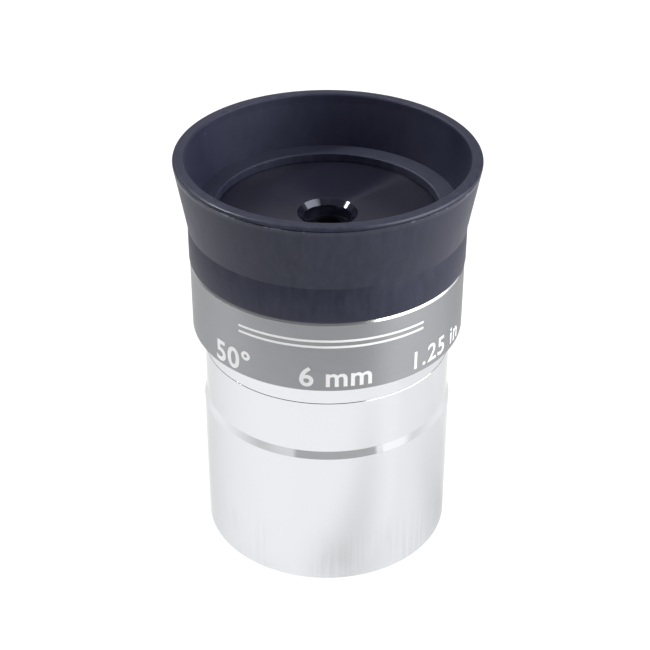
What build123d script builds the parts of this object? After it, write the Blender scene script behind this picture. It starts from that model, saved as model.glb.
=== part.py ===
"""A 6 mm telescope eyepiece with a 31.75 mm (1.25 inch) barrel and a folding rubber eyecup.

Millimetres. The optical axis is Z, +Z points at the observer's eye, and the origin is the
centre of the barrel's lower end, on the plane that the eyepiece stands on.
Every piece is a solid of revolution about Z, some with slots or holes cut afterwards.
Outlines are closed lists of (radius, height) corners.
"""

import os
from math import sqrt

from build123d import *

# ---- driving dimensions ----

CLEARANCE = 0.05            # radial gap between pieces that move on each other

BARREL_R = 15.875           # half of 31.75 mm
BARREL_TOP = 27.4           # seam between the barrel and the upper body
UNDERCUT_R = 15.55          # safety undercut, where a drawtube screw bites
BEVEL_LOW = 19.3            # the bevel leads up from the barrel into the undercut
BEVEL_HIGH = 20.3
BARREL_BORE_R = 13.9
FILTER_THREAD_R = 14.25     # M28.5 filter thread
FILTER_THREAD_DEPTH = 4.8
BODY_THREAD_R = 14.75       # the barrel screws onto the upper body here
BODY_THREAD_LOW = 23.0

BAND_R = 16.95              # grey band, the widest metal
BAND_LOW = 30.2             # its lower face stops on the drawtube
BAND_HIGH = 39.6
BAND_SEAT_R = UNDERCUT_R    # the band is pressed onto the body

SPIGOT_LOW = 23.4           # four millimetres of thread, five turns of 0.75 mm pitch
BODY_BORE_R = 13.4
WEB_LOW = 34.8              # cross web that carries the lens cell
WEB_HIGH = 38.3
WEB_LIP_LOW = 37.5
WEB_LIP_R = 6.6
CELL_FLANGE_R = 7.5

CAP_R = 15.7                # eye-end cap, which the eyecup is stretched over
CAP_THREAD_R = 14.9
CAP_TOP = 45.0
CAP_PLATE = 2.0
EYE_HOLE_R = 3.05
EYE_HOLE_MOUTH_R = 3.7

LENS_R = 3.3                # both doublets are alike, crown towards crown
CEMENTED_SURFACE_R = 5.0
CROWN_SURFACE_R = 4.6
FLINT_THICKNESS = 0.9
CROWN_THICKNESS = 3.2
LENS_GAP = 0.4
EYE_LENS_TOP = 42.6
CELL_TUBE_R = 5.2
CELL_TOP = CAP_TOP - CAP_PLATE
CELL_BOTTOM = 31.6
CELL_APERTURE_R = 2.9
RETAINER_R = 3.7
FIELD_STOP_R = 2.6          # apparent field of 50 degrees at 6 mm

CUP_R = 17.05               # rubber around the cap
CUP_LOW = BAND_HIGH + CLEARANCE
FOLD_Z = 44.3               # the flare folds here
FLANGE_TOP = 46.2           # inner flange, on top of the cap
FLANGE_HOLE_R = 13.65
WELL_R = 15.98              # foot of the inner cone, on the flange
RIM_R = 18.5
RIM_LOW = 51.9
RIM_HIGH = 53.0
RIM_HOLE_R = 17.05
PARTING_GROOVE = 0.12       # depth of the step under the rim


# ---- helpers ----


def turned(outline, rounded=()):
    """Solid of revolution of an outline; rounded lists (corner, fillet radius)."""
    section = make_face(Polyline(*outline, close=True))
    for corner, radius in rounded:
        nearest = section.vertices().sort_by_distance((corner[0], corner[1], 0))[0]
        section = fillet(nearest, radius)
    return revolve(Plane.XZ * section, Axis.Z)


def ring(inner_r, outer_r, low, high, chamfer_size=0.0):
    """A flat ring, with its two outer edges chamfered by chamfer_size."""
    if chamfer_size == 0.0:
        return turned([(inner_r, low), (outer_r, low), (outer_r, high), (inner_r, high)])
    c = chamfer_size
    return turned([
        (inner_r, low), (outer_r - c, low), (outer_r, low + c),
        (outer_r, high - c), (outer_r - c, high), (inner_r, high),
    ])


def spanner_slots(body, inner_r, outer_r, face_z, width, depth):
    """Two slots across a ring's lower face, for a pin spanner."""
    middle_r = (inner_r + outer_r) / 2
    for side in (-1, 1):
        slot = Box(2 * (outer_r - inner_r), width, 2 * depth)
        body = body - Pos(side * middle_r, 0, face_z) * slot
    return body


def sag(surface_r, r):
    """How far a spherical surface falls away from its vertex at radius r."""
    return surface_r - sqrt(surface_r ** 2 - r ** 2)


def lens(top_z, top_surface_r, low_z, low_surface_r):
    """A lens between two vertices. A surface radius is positive where the surface bulges
    up, negative where it bulges down, and None where it is flat."""

    def rim_z(vertex_z, surface_r):
        if surface_r is None:
            return vertex_z
        return vertex_z - sag(abs(surface_r), LENS_R) * (1 if surface_r > 0 else -1)

    def surface(vertex_z, surface_r):
        start, end = (0, vertex_z), (LENS_R, rim_z(vertex_z, surface_r))
        if surface_r is None:
            return Line(start, end)
        half_r = LENS_R / 2
        fall = sag(abs(surface_r), half_r) * (1 if surface_r > 0 else -1)
        return ThreePointArc(start, (half_r, vertex_z - fall), end)

    top = surface(top_z, top_surface_r)
    low = surface(low_z, low_surface_r)
    axis = Line((0, low_z), (0, top_z))
    edge = Line((LENS_R, rim_z(top_z, top_surface_r)), (LENS_R, rim_z(low_z, low_surface_r)))
    return revolve(Plane.XZ * make_face([axis, top, edge, low]), Axis.Z)


# ---- barrel ----


def barrel():
    mouth, edge, seam = 0.3, 0.25, 0.06
    thread_top = FILTER_THREAD_DEPTH
    return turned([
        (FILTER_THREAD_R + mouth, 0), (BARREL_R - edge, 0), (BARREL_R, edge),
        (BARREL_R, BEVEL_LOW), (UNDERCUT_R, BEVEL_HIGH),
        (UNDERCUT_R, BARREL_TOP - seam), (UNDERCUT_R - seam, BARREL_TOP),
        (BODY_THREAD_R, BARREL_TOP), (BODY_THREAD_R, BODY_THREAD_LOW),
        (BARREL_BORE_R, BODY_THREAD_LOW), (BARREL_BORE_R, thread_top),
        (FILTER_THREAD_R, thread_top), (FILTER_THREAD_R, mouth),
    ])


# ---- upper body ----


def upper_body():
    """Plated body: spigot with the thread, collar, band seat, and the web inside."""
    seam, spigot_edge = 0.06, 0.3
    spigot_r = BODY_THREAD_R - CLEARANCE
    collar_low = BARREL_TOP + CLEARANCE
    body_top = CAP_TOP - CAP_PLATE
    cavity_r = 12.6
    return turned([
        (BODY_BORE_R, SPIGOT_LOW), (spigot_r - spigot_edge, SPIGOT_LOW),
        (spigot_r, SPIGOT_LOW + spigot_edge), (spigot_r, collar_low),
        (UNDERCUT_R - seam, collar_low), (UNDERCUT_R, collar_low + seam),
        (UNDERCUT_R, BAND_HIGH), (CAP_THREAD_R, BAND_HIGH), (CAP_THREAD_R, body_top),
        (cavity_r, body_top), (cavity_r, WEB_HIGH), (WEB_LIP_R, WEB_HIGH),
        (WEB_LIP_R, WEB_LIP_LOW), (CELL_FLANGE_R, WEB_LIP_LOW),
        (CELL_FLANGE_R, WEB_LOW), (BODY_BORE_R, WEB_LOW),
    ])


def name_band():
    """Grey anodised sleeve, with a polished steep chamfer at its top and a small one below."""
    cut_width, cut_height, foot = 0.25, 0.35, 0.15
    return turned([
        (BAND_SEAT_R, BAND_LOW), (BAND_R - foot, BAND_LOW), (BAND_R, BAND_LOW + foot),
        (BAND_R, BAND_HIGH - cut_height), (BAND_R - cut_width, BAND_HIGH), (BAND_SEAT_R, BAND_HIGH),
    ])


def eye_end_cap():
    """Black cap screwed over the body, with the countersunk eye hole in its plate."""
    plate_low = CAP_TOP - CAP_PLATE
    mouth_depth = EYE_HOLE_MOUTH_R - EYE_HOLE_R
    edge = 0.3
    return turned([
        (EYE_HOLE_R, plate_low), (CAP_THREAD_R, plate_low), (CAP_THREAD_R, BAND_HIGH),
        (CAP_R, BAND_HIGH), (CAP_R, CAP_TOP - edge), (CAP_R - edge, CAP_TOP),
        (EYE_HOLE_MOUTH_R, CAP_TOP), (EYE_HOLE_R, CAP_TOP - mouth_depth),
    ])


# ---- optics ----

EYE_CEMENTED_Z = EYE_LENS_TOP - FLINT_THICKNESS
EYE_CROWN_LOW = EYE_CEMENTED_Z - CROWN_THICKNESS
FIELD_CROWN_TOP = EYE_CROWN_LOW - LENS_GAP
FIELD_CEMENTED_Z = FIELD_CROWN_TOP - CROWN_THICKNESS
FIELD_LENS_LOW = FIELD_CEMENTED_Z - FLINT_THICKNESS
RETAINER_HEIGHT = 1.0


def lens_cell():
    """Black tube that the lenses drop into from below, against the shoulder at its top."""
    flange_low = WEB_LIP_LOW - 1.0
    edge = 0.2
    return turned([
        (RETAINER_R, CELL_BOTTOM), (CELL_TUBE_R - edge, CELL_BOTTOM),
        (CELL_TUBE_R, CELL_BOTTOM + edge), (CELL_TUBE_R, flange_low),
        (CELL_FLANGE_R, flange_low), (CELL_FLANGE_R, WEB_LIP_LOW),
        (CELL_TUBE_R, WEB_LIP_LOW), (CELL_TUBE_R, CELL_TOP),
        (CELL_APERTURE_R, CELL_TOP), (CELL_APERTURE_R, EYE_LENS_TOP),
        (LENS_R + CLEARANCE, EYE_LENS_TOP), (LENS_R + CLEARANCE, FIELD_LENS_LOW),
        (RETAINER_R, FIELD_LENS_LOW),
    ])


def cell_locking_ring():
    """Slotted ring that screws up into the web and clamps the lens cell's flange."""
    high = WEB_LIP_LOW - 1.0
    low = high - 1.4
    body = ring(CELL_TUBE_R, CELL_FLANGE_R, low, high, 0.15)
    return spanner_slots(body, CELL_TUBE_R, CELL_FLANGE_R, low, 1.0, 0.6)


def lens_spacer():
    """Ring that keeps the two doublets apart; its ends touch the crowns near their rims."""
    inner_r = LENS_R - 0.4
    fall = sag(CROWN_SURFACE_R, inner_r)
    return ring(inner_r, LENS_R, FIELD_CROWN_TOP - fall, EYE_CROWN_LOW + fall)


def lens_retaining_ring():
    low = FIELD_LENS_LOW - RETAINER_HEIGHT
    body = ring(2.8, RETAINER_R, low, FIELD_LENS_LOW)
    return spanner_slots(body, 2.8, RETAINER_R, low, 0.6, 0.35)


def field_stop():
    """Thin diaphragm at the focal plane, with a bevelled sharp-edged hole."""
    low, high, land = CELL_BOTTOM + 0.3, CELL_BOTTOM + 0.9, 0.15
    return turned([
        (FIELD_STOP_R, high - land), (FIELD_STOP_R + 0.4, low), (RETAINER_R, low),
        (RETAINER_R, high), (FIELD_STOP_R, high),
    ])


# ---- rubber eyecup: one moulding, divided where it folds and at its lip ----


def eyecup_skirt():
    """The sleeve around the cap, with the inner flange that rests on top of it."""
    inner_r = CAP_R + CLEARANCE
    flange_low = CAP_TOP + CLEARANCE
    return turned(
        [
            (inner_r, CUP_LOW), (CUP_R, CUP_LOW), (CUP_R, FOLD_Z), (WELL_R, FLANGE_TOP),
            (FLANGE_HOLE_R, FLANGE_TOP), (FLANGE_HOLE_R, flange_low), (inner_r, flange_low),
        ],
        rounded=[((CUP_R, CUP_LOW), 0.3), ((FLANGE_HOLE_R, FLANGE_TOP), 0.2)],
    )


def eyecup_flare():
    """The conical wall that folds down for an observer with glasses."""
    return turned([
        (CUP_R, FOLD_Z), (RIM_R - PARTING_GROOVE, RIM_LOW),
        (RIM_HOLE_R - PARTING_GROOVE, RIM_LOW), (WELL_R, FLANGE_TOP),
    ])


def eyecup_rim():
    """The thickened lip at the top of the flare."""
    return turned(
        [
            (RIM_HOLE_R - PARTING_GROOVE, RIM_LOW), (RIM_R, RIM_LOW),
            (RIM_R, RIM_HIGH), (RIM_HOLE_R, RIM_HIGH),
        ],
        rounded=[((RIM_R, RIM_HIGH), 0.55), ((RIM_HOLE_R, RIM_HIGH), 0.35)],
    )


# ---- every piece in its own file ----

PIECES = {
    "barrel": barrel(),
    "upper_body": upper_body(),
    "name_band": name_band(),
    "eye_end_cap": eye_end_cap(),
    "lens_cell": lens_cell(),
    "cell_locking_ring": cell_locking_ring(),
    "eye_lens_flint": lens(EYE_LENS_TOP, None, EYE_CEMENTED_Z, CEMENTED_SURFACE_R),
    "eye_lens_crown": lens(EYE_CEMENTED_Z, CEMENTED_SURFACE_R, EYE_CROWN_LOW, -CROWN_SURFACE_R),
    "lens_spacer": lens_spacer(),
    "field_lens_crown": lens(FIELD_CROWN_TOP, CROWN_SURFACE_R, FIELD_CEMENTED_Z,
                             -CEMENTED_SURFACE_R),
    "field_lens_flint": lens(FIELD_CEMENTED_Z, -CEMENTED_SURFACE_R, FIELD_LENS_LOW, None),
    "lens_retaining_ring": lens_retaining_ring(),
    "field_stop": field_stop(),
    "eyecup_skirt": eyecup_skirt(),
    "eyecup_flare": eyecup_flare(),
    "eyecup_rim": eyecup_rim(),
}

os.makedirs("parts", exist_ok=True)
for name, shape in PIECES.items():
    export_step(shape, f"parts/{name}.step")
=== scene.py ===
import math

import bmesh
import bpy
from mathutils import Matrix, Vector


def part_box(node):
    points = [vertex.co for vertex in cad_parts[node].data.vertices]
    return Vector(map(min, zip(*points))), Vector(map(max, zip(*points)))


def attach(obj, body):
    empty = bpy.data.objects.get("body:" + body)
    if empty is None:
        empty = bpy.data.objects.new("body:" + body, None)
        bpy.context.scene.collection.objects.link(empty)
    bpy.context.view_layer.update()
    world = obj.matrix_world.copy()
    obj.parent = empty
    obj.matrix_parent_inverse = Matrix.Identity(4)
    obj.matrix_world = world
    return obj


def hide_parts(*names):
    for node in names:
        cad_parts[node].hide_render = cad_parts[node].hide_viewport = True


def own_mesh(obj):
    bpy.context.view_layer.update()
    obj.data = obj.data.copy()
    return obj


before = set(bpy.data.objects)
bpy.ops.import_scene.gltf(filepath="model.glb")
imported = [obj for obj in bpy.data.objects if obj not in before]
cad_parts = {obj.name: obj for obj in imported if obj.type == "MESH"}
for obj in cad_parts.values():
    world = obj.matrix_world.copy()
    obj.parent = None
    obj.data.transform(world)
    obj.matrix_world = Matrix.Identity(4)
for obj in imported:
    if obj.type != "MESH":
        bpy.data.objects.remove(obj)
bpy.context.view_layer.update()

# Outlines below are in millimetres, as (radius, height) about the optical axis Z, and become metres
# when a mesh is made. Heights and radii that pieces share come from the CAD frame.

MM = 0.001
SEGMENTS = 256
SHARP_ANGLE_DEG = 32

# ---- sizes from the frame ----


def top_mm(node):
    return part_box(node)[1].z / MM


def low_mm(node):
    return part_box(node)[0].z / MM


def radius_mm(node):
    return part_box(node)[1].x / MM


BARREL_R = radius_mm("barrel")
BARREL_TOP = top_mm("barrel")
COLLAR_R = radius_mm("upper_body")
SPIGOT_LOW = low_mm("upper_body")
BODY_TOP = top_mm("upper_body")
BAND_R = radius_mm("name_band")
BAND_LOW, BAND_HIGH = low_mm("name_band"), top_mm("name_band")
CAP_R, CAP_TOP = radius_mm("eye_end_cap"), top_mm("eye_end_cap")
SKIRT_R, SKIRT_LOW = radius_mm("eyecup_skirt"), low_mm("eyecup_skirt")
FLANGE_TOP = top_mm("eyecup_skirt")
FOLD_Z = low_mm("eyecup_flare")
RIM_R = radius_mm("eyecup_rim")
RIM_LOW, RIM_HIGH = low_mm("eyecup_rim"), top_mm("eyecup_rim")

BEVEL_LOW, BEVEL_HIGH = 19.3, 20.3
BORE_R = 13.9
FILTER_R, FILTER_DEPTH, FILTER_PITCH = 14.25, 4.8, 0.6
FILTER_THREAD_LOW = 0.35
BODY_THREAD_R, BODY_THREAD_LOW, BODY_PITCH = 14.75, 23.0, 0.75
THREAD_DEPTH = 0.32
CLEARANCE = 0.05
COLLAR_LOW = BARREL_TOP + CLEARANCE
SEAM_CHAMFER, SEAM_FILLET = 0.03, 0.01
BODY_BORE_R = 13.4
WEB_LOW, WEB_LIP_LOW, WEB_HIGH = 34.8, 37.5, 38.3
CELL_FLANGE_R, WEB_LIP_R = 7.5, 6.6
CAVITY_R, CAP_THREAD_R = 12.6, 14.9
PLATE_LOW = BODY_TOP
EYE_HOLE_R, EYE_MOUTH_R = 3.05, 3.7
WELL_R, FLANGE_HOLE_R = 15.98, 13.65
RIM_HOLE_R = 17.05
RIM_STEP = 0.12
PARTING_Z = RIM_HIGH - 0.5
PARTING_DEPTH = 0.18
FLASH_Z = PARTING_Z - 0.12
MARK_DEPTH = 0.015


# ---- mesh helpers ----


def rounded(corners, steps=6, support=0.06):
    """Closed outline from (radius, height, fillet) corners. Each filleted corner becomes an arc
    with a support point on either side, so that smooth shading stays on the edge."""
    points = []
    count = len(corners)
    for i, (r, z, fillet) in enumerate(corners):
        here = Vector((r, z))
        back = Vector(corners[i - 1][:2]) - here
        ahead = Vector(corners[(i + 1) % count][:2]) - here
        if fillet == 0:
            points.append(here)
            continue
        half = back.angle(ahead) / 2
        cut = fillet / math.tan(half)
        u, v = back.normalized(), ahead.normalized()
        start, end = here + u * cut, here + v * cut
        centre = here + (u + v).normalized() * (fillet / math.sin(half))
        a0 = math.atan2(start.y - centre.y, start.x - centre.x)
        a1 = math.atan2(end.y - centre.y, end.x - centre.x)
        turn = (a1 - a0 + math.pi) % (2 * math.pi) - math.pi
        if back.length - cut > 3 * support:
            points.append(start + u * support)
        for k in range(steps + 1):
            a = a0 + turn * k / steps
            points.append(centre + Vector((math.cos(a), math.sin(a))) * fillet)
        if ahead.length - cut > 3 * support:
            points.append(end + v * support)
    return points


def finish_mesh(bm, name):
    """Makes a smooth-shaded object of a bmesh, with its sharp edges marked."""
    bmesh.ops.recalc_face_normals(bm, faces=bm.faces)
    mesh = bpy.data.meshes.new(name)
    bm.to_mesh(mesh)
    bm.free()
    mesh.shade_smooth()
    mesh.set_sharp_from_angle(angle=math.radians(SHARP_ANGLE_DEG))
    obj = bpy.data.objects.new(name, mesh)
    bpy.context.scene.collection.objects.link(obj)
    return obj


def grid_of_rings(name, radius_at, heights):
    """Closed ring-shaped mesh: radius_at(i, angle) is the outline's radius at height i."""
    bm = bmesh.new()
    rings = []
    for i, z in enumerate(heights):
        ring = []
        for s in range(SEGMENTS):
            a = 2 * math.pi * s / SEGMENTS
            r = radius_at(i, a) * MM
            ring.append(bm.verts.new((r * math.cos(a), r * math.sin(a), z * MM)))
        rings.append(ring)
    for i, ring in enumerate(rings):
        after = rings[(i + 1) % len(rings)]
        for s in range(SEGMENTS):
            t = (s + 1) % SEGMENTS
            bm.faces.new((ring[s], ring[t], after[t], after[s]))
    return finish_mesh(bm, name)


def lathe(name, outline):
    """The closed outline turned about Z."""
    return grid_of_rings(name, lambda i, a: outline[i][0], [p[1] for p in outline])


THREAD_ROWS_PER_TURN = 10
THREAD_FLANK_SLOPE = 3.3
THREAD_CREST = 1.5


def thread(name, root_r, crest_r, hidden_r, low, high, pitch):
    """A right-hand thread between root_r and crest_r, on a sleeve whose other side is hidden_r.
    It fades out over one turn at each end."""
    count = round((high - low) / pitch * THREAD_ROWS_PER_TURN)
    rows = [low + (high - low) * k / count for k in range(count + 1)]
    heights = rows + rows[::-1]

    def radius_at(i, angle):
        if i >= len(rows):
            return hidden_r
        z = rows[i]
        phase = (z / pitch - angle / (2 * math.pi)) % 1.0
        ridge = min(1.0, max(0.0, THREAD_CREST - THREAD_FLANK_SLOPE * abs(phase - 0.5)))
        fade = min(1.0, (z - low) / pitch, (high - z) / pitch)
        return root_r + (crest_r - root_r) * ridge * fade

    return grid_of_rings(name, radius_at, heights)


def paint_faces(obj, material, wanted):
    """Gives the faces whose centre radius and height (mm) pass wanted(r, z) another material."""
    obj.data.materials.append(material)
    index = len(obj.data.materials) - 1
    for face in obj.data.polygons:
        c = face.center
        if wanted(math.hypot(c.x, c.y) / MM, c.z / MM):
            face.material_index = index


# ---- material helpers ----


def math_node(tree, operation, *values):
    """The output of a Math node whose inputs are numbers or sockets."""
    node = tree.nodes.new("ShaderNodeMath")
    node.operation = operation
    for slot, value in enumerate(values):
        if isinstance(value, (int, float)):
            node.inputs[slot].default_value = value
        else:
            tree.links.new(value, node.inputs[slot])
    return node.outputs["Value"]


DUST_SCALE, DUST_SPECK = 420, 0.055
DUST_PATCH_SCALE, DUST_PATCH_EDGE = 130, (0.60, 0.62)
NOISE_ROUGHNESS = 0.55


class Shader:
    """A Principled material with short calls for its texture nodes."""

    def __init__(self, name, **sockets):
        self.material = bpy.data.materials.new(name)
        self.material.use_nodes = True
        self.tree = self.material.node_tree
        self.nodes = self.tree.nodes
        self.bsdf = self.nodes["Principled BSDF"]
        self.position = self.nodes.new("ShaderNodeTexCoord").outputs["Object"]
        for socket, value in sockets.items():
            self.bsdf.inputs[socket.replace("_", " ")].default_value = value

    def join(self, source, target):
        self.tree.links.new(source, target)

    def along(self, axis):
        """The position along an axis, in metres."""
        node = self.nodes.new("ShaderNodeSeparateXYZ")
        self.join(self.position, node.inputs["Vector"])
        return node.outputs[axis]

    def stretched(self, scale):
        node = self.nodes.new("ShaderNodeMapping")
        node.inputs["Scale"].default_value = scale
        self.join(self.position, node.inputs["Vector"])
        return node.outputs["Vector"]

    def noise(self, scale, stretch=(1, 1, 1), detail=3.0):
        node = self.nodes.new("ShaderNodeTexNoise")
        node.inputs["Scale"].default_value = scale
        node.inputs["Detail"].default_value = detail
        node.inputs["Roughness"].default_value = NOISE_ROUGHNESS
        self.join(self.stretched(stretch), node.inputs["Vector"])
        return node.outputs["Fac"]

    def dust(self):
        """1 on a few small specks, 0 elsewhere."""
        node = self.nodes.new("ShaderNodeTexVoronoi")
        node.inputs["Scale"].default_value = DUST_SCALE
        self.join(self.position, node.inputs["Vector"])
        specks = self.ramp(node.outputs["Distance"], 0.0, DUST_SPECK, 1.0, 0.0)
        rare = self.ramp(self.noise(DUST_PATCH_SCALE, detail=1), *DUST_PATCH_EDGE, 0.0, 1.0)
        return self.math("MULTIPLY", specks, rare)

    def ramp(self, source, low, high, start, end):
        """Takes low..high to start..end, and holds the value outside that."""
        node = self.nodes.new("ShaderNodeMapRange")
        for name, value in (("From Min", low), ("From Max", high), ("To Min", start), ("To Max", end)):
            node.inputs[name].default_value = value
        self.join(source, node.inputs["Value"])
        return node.outputs["Result"]

    def mix_colour(self, factor, first, second):
        """From the first colour to the second; each is a colour or a socket."""
        node = self.nodes.new("ShaderNodeMix")
        node.data_type = "RGBA"
        self.join(factor, node.inputs["Factor"])
        for socket, value in (("A", first), ("B", second)):
            target = [s for s in node.inputs if s.name == socket and s.type == "RGBA"][0]
            if isinstance(value, tuple):
                target.default_value = value
            else:
                self.join(value, target)
        return [s for s in node.outputs if s.type == "RGBA"][0]

    def math(self, operation, *values):
        return math_node(self.tree, operation, *values)

    def bump(self, height, distance):
        """Adds a bump whose height reaches a distance in metres, over those already there."""
        node = self.nodes.new("ShaderNodeBump")
        node.inputs["Strength"].default_value = 1.0
        node.inputs["Distance"].default_value = distance
        self.join(height, node.inputs["Height"])
        before = self.bsdf.inputs["Normal"]
        if before.is_linked:
            self.join(before.links[0].from_socket, node.inputs["Normal"])
        self.join(node.outputs["Normal"], before)

    def around_axis(self):
        """Turned grain: the tangent runs round the optical axis."""
        node = self.nodes.new("ShaderNodeTangent")
        node.direction_type = "RADIAL"
        node.axis = "Z"
        self.join(node.outputs["Tangent"], self.bsdf.inputs["Tangent"])

    def add_lobe(self, share, **sockets):
        """Mixes in the same surface with other gloss, for this share of it."""
        lobe = self.nodes.new("ShaderNodeBsdfPrincipled")
        for source, target in zip(self.bsdf.inputs, lobe.inputs):
            if source.is_linked and source.name != "Roughness":
                self.join(source.links[0].from_socket, target)
            elif source.enabled:
                target.default_value = source.default_value
        for name, value in sockets.items():
            lobe.inputs[name.replace("_", " ")].default_value = value
        mixed = self.nodes.new("ShaderNodeMixShader")
        mixed.inputs["Fac"].default_value = share
        self.join(self.bsdf.outputs["BSDF"], mixed.inputs[1])
        self.join(lobe.outputs["BSDF"], mixed.inputs[2])
        self.join(mixed.outputs["Shader"], self.nodes["Material Output"].inputs["Surface"])

    def set(self, socket, source):
        self.join(source, self.bsdf.inputs[socket])


# ---- materials ----

# Noise scales are per metre, bump distances in metres, and the other lengths in millimetres.

DUST_COLOUR = (0.22, 0.22, 0.23, 1)
EDGE_TINT = (0.8, 0.8, 0.8, 1)
COOL_TINT = (0.80, 0.85, 1.0, 1)
RUBBER_TINT = (0.88, 0.94, 1.0, 1)
ALONG_TURNING = 0.25  # anisotropic rotation, as a share of a full turn

SCUFF_HEIGHT = 9
SCUFF_GRAIN = (2600, 2600, 60)
SCUFF_BUMP = 0.00004
SCUFF_COLOUR = (0.655, 0.662, 0.68, 1)

DRAG_GRAIN = (1, 1, 0.35)
FLASH_GRAIN = (1, 1, 0.2)
FLASH_COLOUR = (0.085, 0.09, 0.12, 1)
FLASH_HALF_WIDTH = (0.05, 0.14)
# Dust on the eyecup's ledge, with painted light: the pale colour lies only on the right side (x in mm),
# standing in for light falling there.
PAINTED_LIGHT_SIDE_FROM, PAINTED_LIGHT_SIDE_TO, DUST_AND_PAINTED_LIGHT_COVER = 0, 9, 0.55
DUST_AND_PAINTED_LIGHT_COLOUR = (0.075, 0.080, 0.115, 1)


def chrome():
    """Bright plating over a turned tube: faint lathe lines, soft haze, and fine upright scuffs near
    the lower end, where it slides into drawtubes."""
    s = Shader("bright_chrome", Metallic=1.0, Specular_Tint=EDGE_TINT)
    haze = s.noise(90, detail=4)
    plain = s.mix_colour(haze, (0.715, 0.725, 0.75, 1), (0.735, 0.745, 0.77, 1))
    lines = s.noise(1, stretch=(60, 60, 9000), detail=2)
    s.set("Roughness", s.ramp(s.math("ADD", haze, lines), 0.6, 1.4, 0.055, 0.12))
    s.bump(lines, 0.0000012)
    low_end = s.ramp(s.along("Z"), 0, SCUFF_HEIGHT * MM, 1, 0)
    patches = s.ramp(s.noise(110, detail=2), 0.4, 0.6, 0, 1)
    scuffs = s.noise(1, stretch=SCUFF_GRAIN)
    where = s.math("MULTIPLY", low_end, patches)
    s.bump(s.math("MULTIPLY", scuffs, where), SCUFF_BUMP)
    worn = s.math("MULTIPLY", s.ramp(scuffs, 0.42, 0.62, 0, 1), where)
    s.set("Base Color", s.mix_colour(worn, plain, SCUFF_COLOUR))
    return s.material


def satin_anodised():
    """Grey anodised aluminium with the fine rings that the lathe leaves."""
    s = Shader("grey_anodised", Metallic=1.0, Anisotropic=0.8, Anisotropic_Rotation=ALONG_TURNING,
               Specular_Tint=EDGE_TINT)
    grain = s.noise(1, stretch=(250, 250, 14000))
    cloud = s.noise(70)
    s.set("Base Color", s.mix_colour(cloud, (0.305, 0.31, 0.325, 1), (0.335, 0.34, 0.355, 1)))
    s.set("Roughness", s.ramp(grain, 0.3, 0.7, 0.30, 0.42))
    s.around_axis()
    s.bump(grain, 0.000004)
    return s.material


def polished_cut():
    """The diamond-cut chamfer of the band."""
    s = Shader("polished_cut", Metallic=1.0)
    lines = s.noise(1, stretch=(80, 80, 12000), detail=2)
    s.set("Base Color", s.mix_colour(lines, (0.58, 0.585, 0.60, 1), (0.66, 0.665, 0.68, 1)))
    s.set("Roughness", s.ramp(lines, 0.3, 0.7, 0.12, 0.22))
    return s.material


def black_anodised(name, roughness, anisotropic, gloss=0.5, streak=0.0):
    """Black turned aluminium. The streak is the share of it that has a longer, narrower gleam."""
    s = Shader(name, Anisotropic=anisotropic, IOR=1.5, Specular_IOR_Level=gloss,
               Specular_Tint=COOL_TINT)
    cloud = s.noise(120, detail=4)
    plain = s.mix_colour(cloud, (0.0070, 0.0070, 0.0150, 1), (0.0110, 0.0110, 0.0210, 1))
    s.set("Base Color", s.mix_colour(s.dust(), plain, DUST_COLOUR))
    s.set("Roughness", s.ramp(cloud, 0.3, 0.7, roughness * 0.85, roughness * 1.15))
    s.around_axis()
    s.bump(s.noise(2600, detail=2), 0.000002)
    if streak:
        s.add_lobe(streak, Roughness=0.31, Anisotropic=1.0, Anisotropic_Rotation=ALONG_TURNING)
    return s.material


def rubber(name, roughness, gloss, grain, dust_and_painted_light=False, flash_z=None):
    """Moulded black rubber: fine pebbled skin, bloom in patches, a few specks. The grain is the share
    of fine upright drag marks from the mould in its tone. With dust_and_painted_light, pale dust lies in
    patches on the right side only; that one-sided pale colour is painted light, where light falls on the
    ledge. At flash_z (mm) the mould's parting line has left short pale marks."""
    s = Shader(name, IOR=1.5, Specular_IOR_Level=gloss, Sheen_Weight=0.03, Sheen_Roughness=0.4,
               Specular_Tint=RUBBER_TINT)
    bloom = s.math("ADD", s.math("MULTIPLY", s.noise(60, detail=5), 1 - grain),
                   s.math("MULTIPLY", s.noise(1200, stretch=DRAG_GRAIN, detail=4), grain))
    base = s.mix_colour(s.ramp(bloom, 0.35, 0.65, 0, 1),
                        (0.0105, 0.0115, 0.027, 1), (0.0245, 0.0255, 0.047, 1))
    if flash_z:
        off = s.math("ABSOLUTE", s.math("SUBTRACT", s.along("Z"), flash_z * MM))
        marks = s.ramp(s.noise(650, stretch=FLASH_GRAIN), 0.54, 0.62, 0, 1)
        full, none = FLASH_HALF_WIDTH
        flash = s.math("MULTIPLY", marks, s.ramp(off, full * MM, none * MM, 1, 0))
        base = s.mix_colour(flash, base, FLASH_COLOUR)
    if dust_and_painted_light:
        # Painted light: the pale colour reaches only the right side, as if light fell there.
        side = s.ramp(s.along("X"), PAINTED_LIGHT_SIDE_FROM * MM, PAINTED_LIGHT_SIDE_TO * MM, 0, DUST_AND_PAINTED_LIGHT_COVER)
        cover = s.math("MULTIPLY", side, s.ramp(s.noise(300, detail=5), 0.3, 0.6, 0.7, 1))
        base = s.mix_colour(cover, base, DUST_AND_PAINTED_LIGHT_COLOUR)
    s.set("Base Color", s.mix_colour(s.dust(), base, DUST_COLOUR))
    s.set("Roughness", s.ramp(bloom, 0.3, 0.7, roughness - 0.07, roughness + 0.07))
    s.bump(s.noise(3000), 0.000009)
    s.bump(s.noise(260, detail=2), 0.000012)
    return s.material


def coated_glass():
    """Optical glass with a faint blue coating."""
    s = Shader("coated_glass", Transmission_Weight=1.0, IOR=1.52, Specular_IOR_Level=0.1)
    tint = s.noise(200, detail=2)
    s.set("Base Color", s.mix_colour(tint, (0.93, 0.96, 1.0, 1), (0.97, 0.98, 1.0, 1)))
    s.set("Roughness", s.ramp(tint, 0.3, 0.7, 0.0, 0.02))
    return s.material


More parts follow.
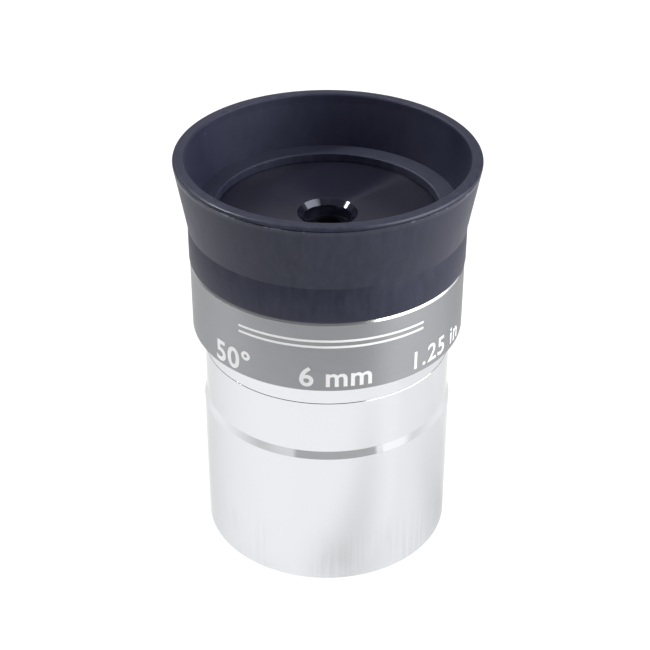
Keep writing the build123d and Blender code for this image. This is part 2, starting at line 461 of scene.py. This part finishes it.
def ink():
    """White marking, laser-etched into the anodising."""
    s = Shader("etched_marking", IOR=1.45)
    grain = s.noise(5200)
    s.set("Base Color", s.mix_colour(grain, (0.72, 0.72, 0.73, 1), (0.86, 0.86, 0.87, 1)))
    s.set("Roughness", s.ramp(grain, 0.3, 0.7, 0.5, 0.7))
    s.bump(grain, 0.000003)
    return s.material


FLOOR_GLOW = 0.93
# Distances in metres from the axis between which the floor's glow falls, as a painted pool of light, and
# what is left of it.
PAINTED_POOL_OF_LIGHT = (0.065, 0.21)
POOL_EDGE = 0.45
# Painted shadows in the floor's glow: (start x, start y, azimuth, width, growth, length, strength),
# lengths in mm.
PAINTED_FLOOR_SHADOWS = (
    (3.0, -19.5, 52, 5.5, 0.12, 42, 0.30),
    (16.0, -1.5, 86, 6.5, 0.1, 28, 0.18),
)
SHADOW_LEAD_IN = 8


def painted_soft_shadow(s, start_x, start_y, azimuth, width, growth, length, strength):
    """How much a soft shadow painted into the floor's glow darkens it. It starts at a point and runs
    towards an azimuth, growing wider and fainter over its length."""
    x = s.math("SUBTRACT", s.along("X"), start_x * MM)
    y = s.math("SUBTRACT", s.along("Y"), start_y * MM)
    sine, cosine = math.sin(math.radians(azimuth)), math.cos(math.radians(azimuth))
    along = s.math("SUBTRACT", s.math("MULTIPLY", x, sine), s.math("MULTIPLY", y, cosine))
    across = s.math("ADD", s.math("MULTIPLY", x, cosine), s.math("MULTIPLY", y, sine))
    reach = s.math("ADD", s.math("MULTIPLY", s.math("MAXIMUM", along, 0), growth), width * MM)
    off = s.math("DIVIDE", across, reach)
    bell = s.math("EXPONENT", s.math("MULTIPLY", s.math("MULTIPLY", off, off), -1))
    start = s.ramp(along, -SHADOW_LEAD_IN * MM, 0, 0, 1)
    fading = s.ramp(along, 0, length * MM, strength, 0)
    return s.math("MULTIPLY", bell, s.math("MULTIPLY", start, fading))


def pale_floor():
    """A softly lit white table that also glows: its glow stands in for light on it, with a pool of light
    and soft shadows near the eyepiece painted into that glow. The picture is exposed so that it goes to
    plain white, but the polished pieces show its tone and these painted shadows."""
    s = Shader("pale_floor", Roughness=0.85)
    grain = s.noise(40, detail=4)
    s.set("Base Color", s.mix_colour(grain, (0.11, 0.11, 0.11, 1), (0.13, 0.13, 0.13, 1)))
    s.bump(s.noise(900, detail=2), 0.00001)
    distance = s.nodes.new("ShaderNodeVectorMath")
    distance.operation = "LENGTH"
    s.join(s.position, distance.inputs[0])
    tone = s.ramp(distance.outputs["Value"], *PAINTED_POOL_OF_LIGHT, FLOOR_GLOW, FLOOR_GLOW * POOL_EDGE)
    for shadow in PAINTED_FLOOR_SHADOWS:
        tone = s.math("MULTIPLY", tone, s.math("SUBTRACT", 1, painted_soft_shadow(s, *shadow)))
    seen = s.nodes.new("ShaderNodeLightPath").outputs["Is Camera Ray"]
    # For all rays but the camera's, the glow carries the painted pool of light and the painted shadows.
    s.set("Emission Strength", s.math("MAXIMUM", tone, s.math("MULTIPLY", seen, FLOOR_GLOW)))
    return s.material


CHROME = chrome()
GREY = satin_anodised()
CUT = polished_cut()
CAP_BLACK = black_anodised("turned_black", 0.19, 0.88, streak=0.32)
HOLE_BLACK = black_anodised("bright_black", 0.10, 0.0)
CELL_BLACK = black_anodised("matt_black", 0.55, 0.0, gloss=0.2)
RUBBER = rubber("eyecup_rubber", 0.48, gloss=0.34, grain=0.6)
RIM_RUBBER = rubber("eyecup_rubber_rim", 0.37, gloss=0.42, grain=0.6, flash_z=FLASH_Z)
INNER_RUBBER = rubber("eyecup_rubber_inside", 0.5, gloss=0.2, grain=0.2)
# Rubber of the ledge: dust, with painted light on its right side.
DUSTY_PAINTED_LIT_RUBBER = rubber("eyecup_rubber_dusty_painted_lit", 0.58, gloss=0.3, grain=0.3, dust_and_painted_light=True)
GLASS = coated_glass()
INK = ink()


# ---- metal pieces ----


def dress(obj, material, body, slot, *nodes):
    """Finishes a piece: its material, its body and the CAD nodes that it stands for. The slot is not
    used.
    """
    obj.data.materials.append(material)
    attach(obj, body)
    if nodes:
        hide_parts(*nodes)


def make_barrel():
    edge, mouth = 0.25, 0.3
    outline = rounded([
        (FILTER_R + mouth, 0, 0.03), (BARREL_R - edge, 0, 0.06), (BARREL_R, edge, 0.12),
        (BARREL_R, BEVEL_LOW, 0.12), (COLLAR_R, BEVEL_HIGH, 0.08),
        (COLLAR_R, BARREL_TOP - SEAM_CHAMFER, SEAM_FILLET),
        (COLLAR_R - SEAM_CHAMFER, BARREL_TOP, SEAM_FILLET),
        (BODY_THREAD_R, BARREL_TOP, 0.03), (BODY_THREAD_R, BODY_THREAD_LOW, 0),
        (BORE_R, BODY_THREAD_LOW, 0.05), (BORE_R, FILTER_DEPTH, 0.05),
        (FILTER_R, FILTER_DEPTH, 0), (FILTER_R, mouth, 0),
    ])
    tube = lathe("barrel_tube", outline)
    dress(tube, CHROME, "barrel", "barrel_chrome", "barrel")
    paint_faces(tube, CELL_BLACK, lambda r, z: r < BORE_R + 0.1 and z > FILTER_DEPTH + 0.2)
    filter_thread = thread("filter_thread", FILTER_R + 0.02, FILTER_R - THREAD_DEPTH,
                           FILTER_R + 0.08, FILTER_THREAD_LOW, FILTER_DEPTH - 0.1, FILTER_PITCH)
    dress(filter_thread, CHROME, "barrel", "barrel_chrome")


def make_upper_body():
    spigot_edge = 0.3
    root_r = BODY_THREAD_R - CLEARANCE - THREAD_DEPTH
    outline = rounded([
        (BODY_BORE_R, SPIGOT_LOW, 0.04), (root_r - 0.1, SPIGOT_LOW, 0.05),
        (root_r, SPIGOT_LOW + spigot_edge, 0.05), (root_r, COLLAR_LOW, 0),
        (COLLAR_R - SEAM_CHAMFER, COLLAR_LOW, SEAM_FILLET),
        (COLLAR_R, COLLAR_LOW + SEAM_CHAMFER, SEAM_FILLET),
        (COLLAR_R, BAND_HIGH, 0.03), (CAP_THREAD_R, BAND_HIGH, 0), (CAP_THREAD_R, BODY_TOP, 0.03),
        (CAVITY_R, BODY_TOP, 0.03), (CAVITY_R, WEB_HIGH, 0.1), (WEB_LIP_R, WEB_HIGH, 0.03),
        (WEB_LIP_R, WEB_LIP_LOW, 0), (CELL_FLANGE_R, WEB_LIP_LOW, 0),
        (CELL_FLANGE_R, WEB_LOW, 0.1), (BODY_BORE_R, WEB_LOW, 0.3),
    ])
    shell = lathe("upper_body_shell", outline)
    dress(shell, CHROME, "upper_body", "body_chrome", "upper_body")
    paint_faces(shell, CELL_BLACK, lambda r, z: r < BODY_BORE_R + 0.05)
    spigot = thread("body_thread", root_r - 0.02, root_r + THREAD_DEPTH, root_r - 0.1,
                    SPIGOT_LOW + 0.2, BARREL_TOP, BODY_PITCH)
    dress(spigot, CHROME, "upper_body", "body_chrome")


def make_name_band():
    cut_width, cut_height, foot = 0.18, 0.26, 0.15
    outline = rounded([
        (COLLAR_R, BAND_LOW, 0), (BAND_R - foot, BAND_LOW, 0.08), (BAND_R, BAND_LOW + foot, 0.15),
        (BAND_R, BAND_HIGH - cut_height, 0.04), (BAND_R - cut_width, BAND_HIGH, 0.03),
        (COLLAR_R, BAND_HIGH, 0),
    ], support=0.03)
    band = lathe("grey_band", outline)
    dress(band, GREY, "upper_body", "band_grey", "name_band")
    paint_faces(band, CUT, lambda r, z: z > BAND_HIGH - cut_height + 0.01)


def make_eye_end_cap():
    edge = 0.3
    mouth_depth = EYE_MOUTH_R - EYE_HOLE_R
    outline = rounded([
        (EYE_HOLE_R, PLATE_LOW, 0.03), (CAP_THREAD_R, PLATE_LOW, 0), (CAP_THREAD_R, BAND_HIGH, 0),
        (CAP_R, BAND_HIGH, 0.03), (CAP_R, CAP_TOP - edge, 0.1), (CAP_R - edge, CAP_TOP, 0.1),
        (EYE_MOUTH_R, CAP_TOP, 0.04), (EYE_HOLE_R, CAP_TOP - mouth_depth, 0.04),
    ])
    cap = lathe("turned_cap", outline)
    dress(cap, CAP_BLACK, "upper_body", "black_anodised", "eye_end_cap")
    paint_faces(cap, HOLE_BLACK, lambda r, z: r < EYE_MOUTH_R - 0.01 and z > PLATE_LOW + 0.2)


# ---- rubber eyecup ----


def make_eyecup_skirt():
    inner_r, flange_low = CAP_R + CLEARANCE, CAP_TOP + CLEARANCE
    skirt = lathe("rubber_skirt", rounded([
        (inner_r, SKIRT_LOW, 0.05), (SKIRT_R, SKIRT_LOW, 0.3), (SKIRT_R, FOLD_Z, 0),
        (WELL_R, FLANGE_TOP, 0), (FLANGE_HOLE_R, FLANGE_TOP, 0.2),
        (FLANGE_HOLE_R, flange_low, 0.06), (inner_r, flange_low, 0.06),
    ]))
    dress(skirt, RUBBER, "eyecup", "eyecup_rubber", "eyecup_skirt")
    # The ledge's top: dust, painted lighter on its right side as painted light.
    paint_faces(skirt, DUSTY_PAINTED_LIT_RUBBER, lambda r, z: r < WELL_R and z > FLANGE_TOP - 0.15)


def make_eyecup_flare():
    """The sloping part between the skirt and the rim. The real one flattens as the eyecup folds; this
    mesh keeps one shape.
    """
    flare = lathe("rubber_flare", rounded([
        (SKIRT_R, FOLD_Z, 0), (RIM_R - RIM_STEP, RIM_LOW, 0),
        (RIM_HOLE_R - RIM_STEP, RIM_LOW, 0), (WELL_R, FLANGE_TOP, 0),
    ]))
    dress(flare, RUBBER, "eyecup", "eyecup_rubber", "eyecup_flare")
    paint_faces(flare, INNER_RUBBER, lambda r, z: r < WELL_R + 0.9)
    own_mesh(flare)


def make_eyecup_rim():
    """The lip, with the mould's parting line as a fine groove round its outside."""
    rim = lathe("rubber_rim", rounded([
        (RIM_HOLE_R - RIM_STEP, RIM_LOW, 0), (RIM_R - RIM_STEP, RIM_LOW, 0),
        (RIM_R - 0.03, PARTING_Z - 0.1, 0.05), (RIM_R - PARTING_DEPTH, PARTING_Z, 0.02),
        (RIM_R, PARTING_Z + 0.08, 0.04), (RIM_R, RIM_HIGH, 0.38), (RIM_HOLE_R, RIM_HIGH, 0.35),
    ], steps=10))
    dress(rim, RIM_RUBBER, "eyecup_rim", "eyecup_rubber", "eyecup_rim")
    paint_faces(rim, INNER_RUBBER, lambda r, z: r < RIM_HOLE_R + 0.1)


# ---- marking on the band ----


BEND_STEP = 0.3
CAP_HEIGHT_SHARE = 0.73
STRIPE_END_POINTS = 9


def wrap_on_band(bm, azimuth, centre_z):
    """Bends a flat solid drawn in X (along the band), Y (up) and Z (out), in mm, round the band.
    Azimuth 0 faces -Y, and grows towards +X."""
    xs = [v.co.x for v in bm.verts]
    x = min(xs)
    while x < max(xs):
        everything = bm.verts[:] + bm.edges[:] + bm.faces[:]
        bmesh.ops.bisect_plane(bm, geom=everything, plane_co=(x, 0, 0), plane_no=(1, 0, 0), dist=1e-5)
        x += BEND_STEP
    for v in bm.verts:
        angle = math.radians(azimuth) + v.co.x / BAND_R
        r = BAND_R + v.co.z
        v.co = Vector((r * math.sin(angle), -r * math.cos(angle), centre_z + v.co.y)) * MM


def make_text(name, text, cap_height, azimuth, centre_z, weight, gap):
    """Lettering etched into the band. The weight thickens its strokes, and the gap spaces it."""
    curve = bpy.data.curves.new(name, "FONT")
    curve.body = text
    curve.align_x = "CENTER"
    curve.size = cap_height / CAP_HEIGHT_SHARE
    curve.space_character = gap
    curve.offset = weight
    curve.extrude = MARK_DEPTH
    source = bpy.data.objects.new(name + "_curve", curve)
    bpy.context.scene.collection.objects.link(source)
    bpy.context.view_layer.update()
    flat = bpy.data.meshes.new_from_object(source)
    bpy.data.objects.remove(source)
    bm = bmesh.new()
    bm.from_mesh(flat)
    bmesh.ops.remove_doubles(bm, verts=bm.verts, dist=1e-4)
    bmesh.ops.translate(bm, verts=bm.verts, vec=(0, -cap_height / 2, 0))
    wrap_on_band(bm, azimuth, centre_z)
    dress(finish_mesh(bm, name), INK, "upper_body", "band_grey")


def make_stripe(name, from_azimuth, to_azimuth, centre_z, height):
    """A plain bar along the band, with half-round ends."""
    half = math.radians(to_azimuth - from_azimuth) / 2 * BAND_R - height / 2
    bm = bmesh.new()
    outline = []
    for side, start in ((1, -90), (-1, 90)):
        for k in range(STRIPE_END_POINTS):
            a = math.radians(start + 180 * k / (STRIPE_END_POINTS - 1))
            outline.append((side * half + math.cos(a) * height / 2, math.sin(a) * height / 2))
    front = [bm.verts.new((x, y, MARK_DEPTH)) for x, y in outline]
    back = [bm.verts.new((x, y, -MARK_DEPTH)) for x, y in outline]
    bm.faces.new(front)
    bm.faces.new(back[::-1])
    for i in range(len(front)):
        j = (i + 1) % len(front)
        bm.faces.new((front[i], back[i], back[j], front[j]))
    wrap_on_band(bm, (from_azimuth + to_azimuth) / 2, centre_z)
    dress(finish_mesh(bm, name), INK, "upper_body", "band_grey")


TEXT_Z = 32.3
STRIPE_FROM, STRIPE_TO, STRIPE_HEIGHT = -38, 42, 0.3


def make_marking():
    """Plain sizes and two plain bars, in place of the original's marks."""
    make_text("mark_focal_length", "6 mm", 2.7, 3.6, TEXT_Z, weight=0.07, gap=1.06)
    make_text("mark_field", "50°", 2.9, -42.0, TEXT_Z, weight=0.09, gap=1.08)
    make_text("mark_barrel_size", "1.25 in", 2.5, 53.0, TEXT_Z, weight=0.04, gap=1.1)
    for name, centre_z in (("mark_stripe_high", 37.25), ("mark_stripe_low", 36.45)):
        make_stripe(name, STRIPE_FROM, STRIPE_TO, centre_z, STRIPE_HEIGHT)


def paint_inside_pieces():
    """Gives the CAD pieces that keep their shape their materials."""
    for name in ("lens_cell", "cell_locking_ring", "lens_spacer", "lens_retaining_ring",
                 "field_stop"):
        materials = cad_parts[name].data.materials
        materials.clear()
        materials.append(CELL_BLACK)
    for name in ("eye_lens_flint", "eye_lens_crown", "field_lens_crown", "field_lens_flint"):
        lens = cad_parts[name]
        lens.data.materials.clear()
        lens.data.materials.append(GLASS)
        blackened_edge_r = radius_mm(name) - 0.05
        paint_faces(lens, CELL_BLACK, lambda r, z: r > blackened_edge_r)


make_barrel()
make_upper_body()
make_name_band()
make_eye_end_cap()
make_eyecup_skirt()
make_eyecup_flare()
make_eyecup_rim()
make_marking()
paint_inside_pieces()


# ---- floor, light and camera ----


FLOOR_RADIUS, FLOOR_SEGMENTS, FLOOR_GAP = 0.27, 96, 0.00002


def make_floor():
    bm = bmesh.new()
    bmesh.ops.create_circle(bm, cap_ends=True, segments=FLOOR_SEGMENTS, radius=FLOOR_RADIUS)
    floor = finish_mesh(bm, "studio_floor")
    floor.location.z = -FLOOR_GAP
    floor.data.materials.append(pale_floor())


# Directions of the light tent, in degrees: azimuth from the front (-Y) towards +X, elevation above
# the horizon. Each panel is (brightness, azimuth from, to, elevation from, to, blur in azimuth and
# in elevation), and covers those before it.
TENT_BASE = 0.9
TENT_PANELS = (
    (0.32, 110, 180, -20, 58, 12, 8),
    (0.32, -180, -125, -20, 58, 12, 8),
    (0.12, 110, 180, -20, 26, 12, 2),
    (0.12, -180, -125, -20, 26, 12, 2),
    (0.90, -140, -27, -20, 2, 2, 2),
    (0.24, -140, 43, 5, 64, 4, 4),
    (0.51, -27, 43, -20, 14, 2, 3),
    (0.60, 143, 170, 26, 42, 5, 4),
    (0.60, -170, -143, 26, 42, 5, 4),
    (6.20, 43, 106, 8, 56, 2, 4),
    (1.25, 43, 125, -14, 10, 2, 4),
    (0.80, -360, 360, 66, 120, 20, 5),
)
# Lamps: (brightness, azimuth, elevation, radius, blur), in degrees.
LAMPS = (
    (3.0, -150, 43, 10, 4),
    (150.0, -98, 42, 4.0, 0.8),
)
# The card at the right: azimuth in degrees, and sizes in metres.
SOFT_BOX_AZIMUTH, SOFT_BOX_DISTANCE = 76, 0.15
SOFT_BOX_WIDTH, SOFT_BOX_HEIGHT, SOFT_BOX_BRIGHTNESS = 0.17, 0.05, 1.3


def make_soft_box():
    """The low part of the soft box at the right, close enough to stand on the floor by the eyepiece."""
    glow = bpy.data.materials.new("soft_box_glow")
    glow.use_nodes = True
    emission = glow.node_tree.nodes.new("ShaderNodeEmission")
    emission.inputs["Strength"].default_value = SOFT_BOX_BRIGHTNESS
    output = glow.node_tree.nodes["Material Output"]
    glow.node_tree.links.new(emission.outputs["Emission"], output.inputs["Surface"])
    bm = bmesh.new()
    bmesh.ops.create_grid(bm, x_segments=1, y_segments=1, size=0.5)
    panel = finish_mesh(bm, "soft_box")
    panel.data.materials.append(glow)
    panel.scale = (SOFT_BOX_WIDTH, SOFT_BOX_HEIGHT, 1)
    azimuth = math.radians(SOFT_BOX_AZIMUTH)
    panel.rotation_euler = (math.pi / 2, 0, azimuth)
    panel.location = (math.sin(azimuth) * SOFT_BOX_DISTANCE, -math.cos(azimuth) * SOFT_BOX_DISTANCE,
                      SOFT_BOX_HEIGHT / 2)
    panel.visible_camera = False


def make_world():
    """A light tent: soft box at the right, two lamps at the left, bright top, dark behind the camera."""
    world = bpy.data.worlds.new("light_tent")
    world.use_nodes = True
    bpy.context.scene.world = world
    nodes, links = world.node_tree.nodes, world.node_tree.links
    background = nodes["Background"]
    background.inputs["Color"].default_value = (1, 1, 1, 1)
    direction = nodes.new("ShaderNodeTexCoord").outputs["Generated"]
    parts = nodes.new("ShaderNodeSeparateXYZ")
    links.new(direction, parts.inputs[0])

    def calc(operation, *values):
        return math_node(world.node_tree, operation, *values)

    def ease(value, low, high):
        node = nodes.new("ShaderNodeMapRange")
        node.interpolation_type = "SMOOTHSTEP"
        node.inputs["From Min"].default_value = low
        node.inputs["From Max"].default_value = high
        links.new(value, node.inputs["Value"])
        return node.outputs["Result"]

    def cover(light, mask, brightness):
        return calc("ADD", light, calc("MULTIPLY", mask, calc("SUBTRACT", brightness, light)))

    forward = calc("MULTIPLY", parts.outputs["Y"], -1)
    azimuth = calc("DEGREES", calc("ARCTAN2", parts.outputs["X"], forward))
    elevation = calc("DEGREES", calc("ARCSINE", parts.outputs["Z"]))
    light = TENT_BASE
    for brightness, az_low, az_high, el_low, el_high, az_blur, el_blur in TENT_PANELS:
        sides = calc("MULTIPLY", ease(azimuth, az_low - az_blur, az_low + az_blur),
                     ease(azimuth, az_high + az_blur, az_high - az_blur))
        ends = calc("MULTIPLY", ease(elevation, el_low - el_blur, el_low + el_blur),
                    ease(elevation, el_high + el_blur, el_high - el_blur))
        light = cover(light, calc("MULTIPLY", sides, ends), brightness)

    for brightness, lamp_azimuth, lamp_elevation, radius, blur in LAMPS:
        az, el = math.radians(lamp_azimuth), math.radians(lamp_elevation)
        towards = nodes.new("ShaderNodeVectorMath")
        towards.operation = "DOT_PRODUCT"
        links.new(direction, towards.inputs[0])
        towards.inputs[1].default_value = (
            math.sin(az) * math.cos(el), -math.cos(az) * math.cos(el), math.sin(el))
        off = calc("DEGREES", calc("ARCCOSINE", towards.outputs["Value"]))
        light = cover(light, ease(off, radius + blur, radius - blur), brightness)

    seen = nodes.new("ShaderNodeLightPath").outputs["Is Camera Ray"]
    links.new(cover(light, seen, 1.0), background.inputs["Strength"])


# The view of the photograph, in metres and degrees.
CAMERA_DISTANCE = 0.1663
CAMERA_HEIGHT = 0.1351
CAMERA_PITCH_DEG = 32.617
CAMERA_ROLL_DEG = 0.19
CAMERA_SIDE = -0.000265
FOCAL_LENGTH_MM, SENSOR_WIDTH_MM, CLIP_START = 85.84, 36.0, 0.01


def make_camera():
    data = bpy.data.cameras.new("camera")
    data.lens = FOCAL_LENGTH_MM
    data.sensor_width = SENSOR_WIDTH_MM
    data.clip_start = CLIP_START
    camera = bpy.data.objects.new("camera", data)
    camera.matrix_world = (
        Matrix.Translation((CAMERA_SIDE, -CAMERA_DISTANCE, CAMERA_HEIGHT))
        @ Matrix.Rotation(math.radians(90 - CAMERA_PITCH_DEG), 4, "X")
        @ Matrix.Rotation(math.radians(CAMERA_ROLL_DEG), 4, "Z")
    )
    bpy.context.scene.collection.objects.link(camera)
    bpy.context.scene.camera = camera


make_floor()
make_soft_box()
make_world()
make_camera()
bpy.context.scene.view_settings.view_transform = "Standard"
